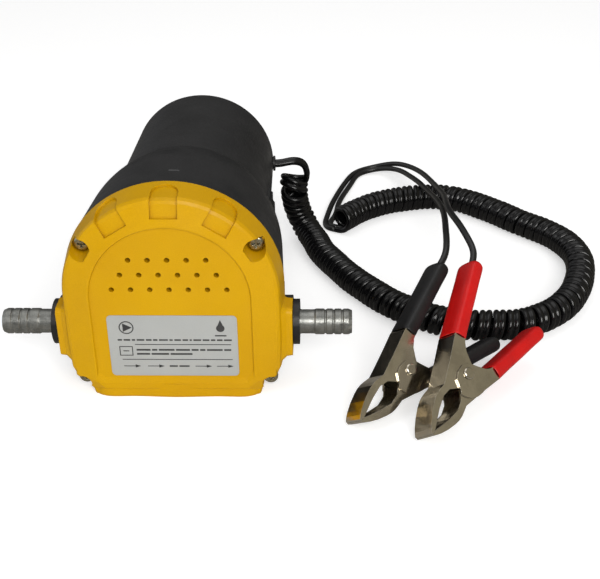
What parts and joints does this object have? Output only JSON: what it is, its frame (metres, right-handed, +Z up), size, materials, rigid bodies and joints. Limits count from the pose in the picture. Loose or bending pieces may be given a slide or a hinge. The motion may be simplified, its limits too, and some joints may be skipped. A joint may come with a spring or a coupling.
{
  "type": "fluid transfer pump",
  "caption": "Gear pump and DC motor in a two-part arched casing on a flat foot, with a hose barb each side, a rocker switch, and a coiled cord ending in two battery clips.",
  "frame": {"origin": "on the floor under the foot, in the casing's plane of symmetry, at the parting plane between front cover and rear housing", "axes": "+Z up, +X towards the outlet barb, -Y out of the front cover, +Y along the motor"},
  "size_m": [0.3085, 0.3155, 0.1057],
  "materials": {
    "yellow_plastic": "satin moulded ABS",
    "label_film": "silver-grey self-adhesive film",
    "black_plastic": "fine spark-eroded mould texture",
    "plated_steel": "zinc plated",
    "cast_aluminium": "die cast, tumbled",
    "gasket_rubber": "moulded nitrile",
    "gear_steel": "ground",
    "bronze": "sintered, oil filled",
    "zinc_steel": "drawn and zinc plated",
    "moulded_nylon": "moulded",
    "lamination_steel": "stacked laminations",
    "copper": "enamelled",
    "ferrite": "ground ferrite",
    "carbon": "pressed carbon",
    "brass_sheet": "stamped",
    "spring_steel": "wire",
    "barb_alloy": "die cast, light machining marks",
    "collar_plastic": "moulded",
    "switch_plastic": "polished",
    "cord_pvc": "semi-gloss PVC",
    "lead_pvc": "semi-gloss PVC",
    "clip_chrome": "bright nickel-chrome plated stamping",
    "red_sleeve_pvc": "dipped soft PVC",
    "black_sleeve_pvc": "dipped soft PVC"
  },
  "bodies": {
    "casing": {"black_clip_lower_jaw": "clip_chrome", "black_clip_lower_sleeve": "black_sleeve_pvc", "black_clip_rivet": "clip_chrome", "black_clip_spring": "spring_steel", "black_lead": "lead_pvc", "brush_holders": "brass_sheet", "brush_springs": "spring_steel", "brushes": "carbon", "coil_cord": "cord_pvc", "cover_screws": "plated_steel", "field_magnets": "ferrite", "front_bearing": "bronze", "front_cover": "yellow_plastic", "idler_pin": "gear_steel", "inlet_barb": "barb_alloy", "inlet_collar": "collar_plastic", "internal_wires": "lead_pvc", "motor_can": "zinc_steel", "motor_end_cap": "moulded_nylon", "motor_mount_screws": "plated_steel", "motor_terminals": "brass_sheet", "outlet_barb": "barb_alloy", "outlet_collar": "collar_plastic", "port_seals": "gasket_rubber", "pump_body": "cast_aluminium", "pump_bush": "bronze", "pump_cover_gasket": "gasket_rubber", "pump_cover_plate": "cast_aluminium", "pump_cover_screws": "plated_steel", "rating_label": "label_film", "rear_bearing": "bronze", "rear_housing": "black_plastic", "red_clip_lower_jaw": "clip_chrome", "red_clip_lower_sleeve": "red_sleeve_pvc", "red_clip_rivet": "clip_chrome", "red_clip_spring": "spring_steel", "red_lead": "lead_pvc", "shaft_seal": "gasket_rubber", "strain_relief": "collar_plastic", "switch_body": "switch_plastic", "switch_terminals": "brass_sheet"},
    "rotor": {"motor_shaft": "gear_steel", "armature_core": "lamination_steel", "armature_windings": "copper", "commutator": "copper", "drive_gear": "gear_steel"},
    "driven_gear_body": {"driven_gear": "gear_steel"},
    "rocker": {"switch_rocker": "switch_plastic"},
    "red_clip_upper": {"red_clip_upper_jaw": "clip_chrome", "red_clip_upper_sleeve": "red_sleeve_pvc", "red_lead_crimp": "brass_sheet"},
    "black_clip_upper": {"black_clip_upper_jaw": "clip_chrome", "black_clip_upper_sleeve": "black_sleeve_pvc", "black_lead_crimp": "brass_sheet"}
  },
  "joints": [
    {"name": "rotor_spin", "type": "hinge", "parent": "casing", "child": "rotor", "pos_m": [0, 0, 0.0535], "axis": [0, 1, 0], "continuous": true},
    {"name": "driven_gear_spin", "type": "hinge", "parent": "casing", "child": "driven_gear_body", "pos_m": [0, 0, 0.0315], "axis": [0, 1, 0], "continuous": true},
    {"name": "rocker_tilt", "type": "hinge", "parent": "casing", "child": "rocker", "pos_m": [0.04, 0.075, 0.0535], "axis": [0, 0, -1], "range_deg": [0, 18]},
    {"name": "red_clip_open", "type": "hinge", "parent": "casing", "child": "red_clip_upper", "pos_m": [0.13388, -0.02701, 0.01801], "axis": [-0.5623, 0.5355, -0.6301], "range_deg": [0, 28], "deforming": ["red_clip_spring"]},
    {"name": "black_clip_open", "type": "hinge", "parent": "casing", "child": "black_clip_upper", "pos_m": [0.10814, -0.01861, 0.01515], "axis": [-0.5305, 0.6221, -0.5759], "range_deg": [0, 28], "deforming": ["black_clip_spring"]}
  ],
  "couplings": [
    {"joint": "driven_gear_spin", "follows": "rotor_spin", "ratio": -1}
  ]
}
